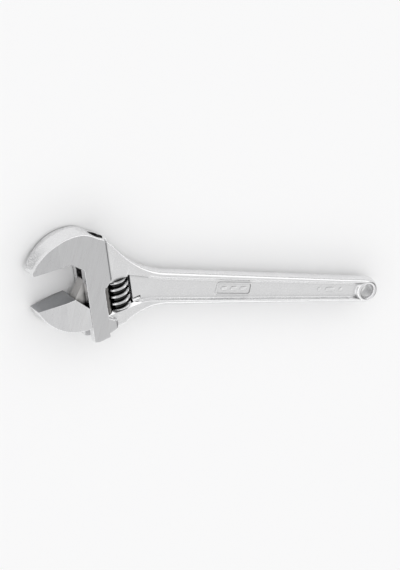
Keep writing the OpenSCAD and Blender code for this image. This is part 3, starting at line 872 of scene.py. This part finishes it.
# The rack's back is cut flat, and its grooves lean by the thread's lead.
knurl_radius, knurl_length, pitch, thread_depth = 11.1 * mm, 29 * mm, 7.1 * mm, 3 * mm
thread_phase, tooth_gap, crest_half, root_half = -2.2 * mm, 0.3 * mm, 1.1 * mm, 2.3 * mm
lead_angle = np.arctan(pitch / (2 * np.pi * (knurl_radius - thread_depth / 2)))
flat_along = rack_along + rack_radius - 0.7 * mm
beyond_flat = [(flat_along, -far), (flat_along, far), (far, far), (far, -far)]
shape_with(rack, prism("rack_flat", beyond_flat, -reach, reach), "DIFFERENCE")
crest_at = knurl_along - knurl_radius - tooth_gap
root_at = knurl_along - knurl_radius + thread_depth
beyond_root = root_at + 3 * mm
crest_side, root_side = crest_half + tooth_gap, root_half + tooth_gap
groove_run = out_way * np.cos(lead_angle) - opening_way * np.sin(lead_angle)
groove_rise = opening_way * np.cos(lead_angle) + out_way * np.sin(lead_angle)
groove_profile = np.array([
    (crest_at, -crest_side), (root_at, -root_side), (beyond_root, -root_side),
    (beyond_root, root_side), (root_at, root_side), (crest_at, crest_side)])
first_groove = -knurl_up + thread_phase + pitch / 2
lowest = int(np.ceil((-rack_top - first_groove) / pitch - 0.6))
highest = int(np.floor((-rack_bottom - first_groove) / pitch + 0.6))
for step in range(lowest, highest + 1):
    middle = throat + (first_groove + step * pitch) * opening_way
    profile = middle + groove_profile[:, :1] * head_along + groove_profile[:, 1:] * groove_rise
    sides = np.stack([profile - 2 * rack_radius * groove_run, profile + 2 * rack_radius * groove_run])
    shape_with(rack, solid("groove", *skin(sides)), "DIFFERENCE")
for part, finish in ((jaw_web, web_finish), (rack, rack_finish)):
    finish_whole(part, finish)
    shape_with(jaw, part, "UNION")
finish_faces(jaw, ground_jaw, level_faces(jaw))

# The grip is the ground face that looks back at the fixed jaw. Its darker tone is painted shade.
face_way, face_middle = face_facts(jaw)
on_grip = (face_way @ head_up > 0.95) & (np.abs(face_middle @ head_up + opening) < 0.2 * mm)
finish_faces(jaw, grip_face, on_grip)
finish_edges(jaw, 28)
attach(jaw, "movable_jaw")
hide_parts("movable_jaw")

# ---- Knurl ---------------------------------------------------------------------------------
# The thumb screw: turned from bar with a coarse right-hand thread of round ridges and polished. It is
# drilled for its pin, and counterbored at its upper end for the spring.


def slide_points(radius, turn, along_slide, axis_at):
    """Points round an axis that runs in the opening direction at a place along the head."""
    radius, turn, along_slide = np.broadcast_arrays(radius, turn, along_slide)
    aside = axis_at + radius * np.cos(turn)
    return throat + aside[..., None] * head_along + (radius * np.sin(turn))[..., None] * out_way \
        + along_slide[..., None] * opening_way


def thread_shape(turn, height):
    """The thread's height from root (0) to crest (1): a round ridge along a helix of one pitch a turn."""
    turns = (height - thread_phase) / pitch - turn / (2 * np.pi)
    off = pitch * np.abs(turns - np.round(turns))
    return smooth(-2.5 * mm, -0.7 * mm, -off)


around = np.linspace(0, 2 * np.pi, 168, endpoint=False)[:, None]
height = np.linspace(-knurl_length / 2, knurl_length / 2, 190)[None, :]
ridge = thread_shape(around, height)
end_gap = knurl_length / 2 - np.abs(height)
chamfer = np.maximum(1.1 * mm - end_gap, 0) * 0.9
side_radius = np.minimum(knurl_radius - thread_depth * (1 - ridge), knurl_radius - chamfer)
bore_radius, pocket_radius, pocket_depth = pin_radius + pin_gap, 5.1 * mm, 9 * mm
bore_loop = np.array([
    (bore_radius + 0.3 * mm, knurl_length / 2), (bore_radius, knurl_length / 2 - 0.3 * mm),
    (bore_radius, pocket_depth - knurl_length / 2), (pocket_radius, pocket_depth - knurl_length / 2),
    (pocket_radius, 0.3 * mm - knurl_length / 2), (pocket_radius + 0.3 * mm, -knurl_length / 2)])
bore_all_round = np.broadcast_to(bore_loop, (len(around),) + bore_loop.shape)
loop_radius = np.concatenate([side_radius, bore_all_round[..., 0]], axis=1)
loop_height = np.concatenate([np.broadcast_to(height, side_radius.shape), bore_all_round[..., 1]], axis=1)
knurl_points = slide_points(loop_radius, around, loop_height - knurl_up, knurl_along)
knurl = solid("thumb_knurl", *skin(knurl_points, ring=True))

# The thread's valleys are darkened to near black, as painted shade: the points' attribute "valley" is 1 at
# the root, 0 at the crest.
place = np.empty(len(knurl.data.vertices) * 3)
knurl.data.vertices.foreach_get("co", place)
offset = place.reshape(-1, 3) - throat
from_axis = np.hypot(offset @ head_along - knurl_along, offset @ out_way)
depth_share = np.clip((knurl_radius - from_axis) / thread_depth, 0, 1)
valley = knurl.data.attributes.new("valley", "FLOAT", "POINT")
valley.data.foreach_set("value", depth_share.astype(np.float32))
knurl_steel = steel("polished_knurl", (0.60, 0.60, 0.605), 0.13, grain, 0.05, 0.03, 0.1, 0.06)
nodes, links = knurl_steel.node_tree.nodes, knurl_steel.node_tree.links
valley_depth = nodes.new("ShaderNodeAttribute")
valley_depth.attribute_name = "valley"
valley_shade = ranged(knurl_steel.node_tree, valley_depth.outputs["Fac"], 0.12, 0.62, 0.0, 0.96)
valley_shade_mix = nodes.new("ShaderNodeMix")
valley_shade_mix.data_type = "RGBA"
valley_shade_mix.inputs["B"].default_value = (0.012, 0.012, 0.012, 1)
links.new(valley_shade, valley_shade_mix.inputs["Factor"])
base = nodes["Principled BSDF"].inputs["Base Color"]
links.new(base.links[0].from_socket, valley_shade_mix.inputs["A"])
links.new(valley_shade_mix.outputs["Result"], base)
knurl.data.materials.append(knurl_steel)
finish_edges(knurl, 50)
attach(knurl, "knurl")
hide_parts("knurl")

# ---- Knurl pin -----------------------------------------------------------------------------
# A turned pin with a slotted head. It enters through the arm under the window, passes through the
# knurl, and ends in the head above it.


def turned(name, profile, steps, axis_at):
    """A turned solid with closed ends, from a profile of (radius, place along the slide)."""
    profile = np.asarray(profile)
    turn = np.linspace(0, 2 * np.pi, steps, endpoint=False)[None, :]
    return solid(name, *skin(slide_points(profile[:, :1], turn, profile[:, 1:], axis_at)))


pin_start, pin_head_at, pin_end = -pin_top, -pin_head_start, -pin_head_end
pin_chamfer, slot_width, slot_depth = 0.5 * mm, 1.4 * mm, 1.6 * mm
pin = turned("slotted_pin", [
    (pin_radius - pin_chamfer, pin_start), (pin_radius, pin_start + pin_chamfer),
    (pin_radius, pin_head_at),
    (pin_head_radius - 0.2 * mm, pin_head_at), (pin_head_radius, pin_head_at + 0.2 * mm),
    (pin_head_radius, pin_end - pin_chamfer), (pin_head_radius - pin_chamfer, pin_end)], 72, knurl_along)
slot_corners = np.array([(-1, -1), (1, -1), (1, 1), (-1, 1)])
slot_cut = np.stack([
    throat + (knurl_along + slot_corners[:, :1] * 10 * mm) * head_along
    + slot_corners[:, 1:] * slot_width / 2 * out_way + end * opening_way
    for end in (pin_end - slot_depth, pin_end + 5 * mm)])
shape_with(pin, solid("driver_slot", *skin(slot_cut)), "DIFFERENCE")
pin.data.materials.append(steel("turned_pin", (0.42, 0.42, 0.43), 0.28, grain, 0.06, 0.05, 0.2, 0.1))
finish_edges(pin, 35)
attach(pin, "root")
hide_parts("knurl_pin")

# ---- Knurl spring --------------------------------------------------------------------------
# A light coil spring of drawn wire in the knurl's upper end. It presses on the window's wall and takes
# up the slack. Each ring of points stands across the helix, and the ends are closed.
wire_radius, coil_radius, coil_turns = 0.45 * mm, 4.2 * mm, 5
window_gap_end = 0.3 * mm
coil_rise = pocket_depth + window_gap_end - 2 * wire_radius - 0.4 * mm
along_wire = np.linspace(0, 1, 60 * coil_turns + 1)[:, None]
round_wire = np.linspace(0, 2 * np.pi, 14, endpoint=False)[None, :]
spring_start = wire_radius + 0.2 * mm - window_top
spring = solid("coil_spring", *skin(slide_points(
    coil_radius + wire_radius * np.cos(round_wire),
    2 * np.pi * coil_turns * along_wire,
    spring_start + coil_rise * along_wire + wire_radius * np.sin(round_wire),
    knurl_along)))
spring.data.materials.append(steel("spring_wire", (0.40, 0.40, 0.42), 0.3, grain, 0.05, 0.05, 0.1, 0.2))
finish_edges(spring, 60)
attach(spring, "root")
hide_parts("knurl_spring")
